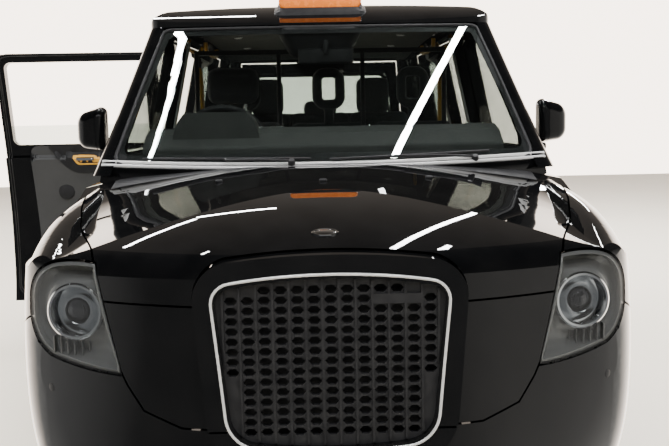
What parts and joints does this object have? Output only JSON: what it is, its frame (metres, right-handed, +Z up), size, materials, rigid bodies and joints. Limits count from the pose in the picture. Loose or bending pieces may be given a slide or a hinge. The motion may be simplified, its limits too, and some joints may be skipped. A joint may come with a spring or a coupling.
{
  "type": "taxi cab",
  "caption": "Tall black taxi cab with an upright chrome-framed grille, D-shaped headlamps, coach rear doors and an orange roof sign.",
  "frame": {"origin": "on the ground, on the centre line, half way along the body", "axes": "+Z up, -Y forwards, +X to the car's left; +Y is the longest extent towards the rear"},
  "size_m": [2.884, 4.8521, 1.888],
  "materials": {
    "black_paint": "gloss",
    "black_trim": "satin",
    "bright_trim": "polished",
    "lamp_bezel": "satin",
    "lamp_lens": "clear",
    "red_lens": "gloss",
    "window_glass": "clear",
    "dark_glass": "tinted",
    "chassis_steel": "satin",
    "cast_metal": "cast",
    "floor_panel": "satin",
    "grey_trim": "matt",
    "partition_panel": "clear",
    "seat_trim": "satin",
    "sign_orange": "translucent",
    "tyre_rubber": "matt",
    "wheel_alloy": "satin"
  },
  "bodies": {
    "body": {"nose_panels": "black_paint", "front_bumper": "black_paint", "scuttle": "black_trim", "front_wing_left": "black_paint", "front_wing_right": "black_paint", "grille_frame": "bright_trim", "grille_mesh": "black_trim", "headlamps": "lamp_bezel", "headlamp_lenses": "lamp_lens", "rear_bumper": "black_paint", "body_side_left": "black_paint", "body_side_right": "black_paint", "roof": "black_paint", "windscreen": "window_glass", "quarter_windows": "dark_glass", "tail_lamps": "red_lens", "arch_liners": "black_trim", "front_subframe": "chassis_steel", "rear_axle": "chassis_steel", "power_unit": "cast_metal", "floor": "floor_panel", "dashboard": "grey_trim", "steering_column": "chassis_steel", "partition": "partition_panel", "driver_seat": "seat_trim", "rear_bench": "seat_trim", "tip_up_seats": "seat_trim", "sign_base": "black_trim", "sign_lamp": "sign_orange"},
    "bonnet": {"bonnet": "black_paint"},
    "tailgate": {"tailgate": "black_paint", "tailgate_window": "dark_glass"},
    "steering_wheel": {"steering_wheel": "grey_trim"},
    "front_door_left": {"front_door_left": "black_paint", "front_door_glass_left": "window_glass", "door_mirror_left": "black_paint"},
    "rear_door_left": {"rear_door_left": "black_paint", "rear_door_glass_left": "window_glass"},
    "knuckle_left": {"knuckle_left": "cast_metal"},
    "front_wheel_left": {"front_tyre_left": "tyre_rubber", "front_wheel_left": "wheel_alloy"},
    "rear_wheel_left": {"rear_tyre_left": "tyre_rubber", "rear_wheel_left": "wheel_alloy"},
    "front_door_right": {"front_door_right": "black_paint", "front_door_glass_right": "window_glass", "door_mirror_right": "black_paint"},
    "rear_door_right": {"rear_door_right": "black_paint", "rear_door_glass_right": "window_glass"},
    "knuckle_right": {"knuckle_right": "cast_metal"},
    "front_wheel_right": {"front_tyre_right": "tyre_rubber", "front_wheel_right": "wheel_alloy"},
    "rear_wheel_right": {"rear_tyre_right": "tyre_rubber", "rear_wheel_right": "wheel_alloy"}
  },
  "joints": [
    {"name": "bonnet_hinge", "type": "hinge", "parent": "body", "child": "bonnet", "pos_m": [0, -1.3085, 1.15], "axis": [-1, 0, 0], "range_deg": [0, 50]},
    {"name": "tailgate_hinge", "type": "hinge", "parent": "body", "child": "tailgate", "pos_m": [0, 2.0285, 1.709], "axis": [1, 0, 0], "range_deg": [0, 85]},
    {"name": "front_door_left_hinge", "type": "hinge", "parent": "body", "child": "front_door_left", "pos_m": [0.937, -1.1165, 0.7], "axis": [0, 0, -1], "range_deg": [0, 70]},
    {"name": "front_door_right_hinge", "type": "hinge", "parent": "body", "child": "front_door_right", "pos_m": [-0.937, -1.1165, 0.7], "axis": [0, 0, 1], "range_deg": [0, 70]},
    {"name": "rear_door_left_hinge", "type": "hinge", "parent": "body", "child": "rear_door_left", "pos_m": [0.937, 0.7715, 0.7], "axis": [0, 0, 1], "range_deg": [0, 90]},
    {"name": "rear_door_right_hinge", "type": "hinge", "parent": "body", "child": "rear_door_right", "pos_m": [-0.937, 0.7715, 0.7], "axis": [0, 0, 1], "range_deg": [0, 90]},
    {"name": "steering_wheel_turn", "type": "hinge", "parent": "body", "child": "steering_wheel", "pos_m": [-0.43, -0.7385, 1.19], "axis": [0, 0.9063, 0.4226], "range_deg": [-540, 540]},
    {"name": "knuckle_left_steer", "type": "hinge", "parent": "body", "child": "knuckle_left", "pos_m": [0.785, -1.5485, 0.3555], "axis": [0, 0, 1], "range_deg": [-48, 48]},
    {"name": "knuckle_right_steer", "type": "hinge", "parent": "body", "child": "knuckle_right", "pos_m": [-0.785, -1.5485, 0.3555], "axis": [0, 0, 1], "range_deg": [-48, 48]},
    {"name": "front_wheel_left_spin", "type": "hinge", "parent": "knuckle_left", "child": "front_wheel_left", "pos_m": [0.815, -1.5485, 0.3555], "axis": [1, 0, 0], "continuous": true},
    {"name": "rear_wheel_left_spin", "type": "hinge", "parent": "body", "child": "rear_wheel_left", "pos_m": [0.815, 1.4365, 0.3555], "axis": [1, 0, 0], "continuous": true},
    {"name": "front_wheel_right_spin", "type": "hinge", "parent": "knuckle_right", "child": "front_wheel_right", "pos_m": [-0.815, -1.5485, 0.3555], "axis": [1, 0, 0], "continuous": true},
    {"name": "rear_wheel_right_spin", "type": "hinge", "parent": "body", "child": "rear_wheel_right", "pos_m": [-0.815, 1.4365, 0.3555], "axis": [1, 0, 0], "continuous": true}
  ],
  "couplings": [
    {"joint": "knuckle_right_steer", "follows": "knuckle_left_steer", "ratio": 1},
    {"joint": "steering_wheel_turn", "follows": "knuckle_left_steer", "ratio": 11}
  ]
}
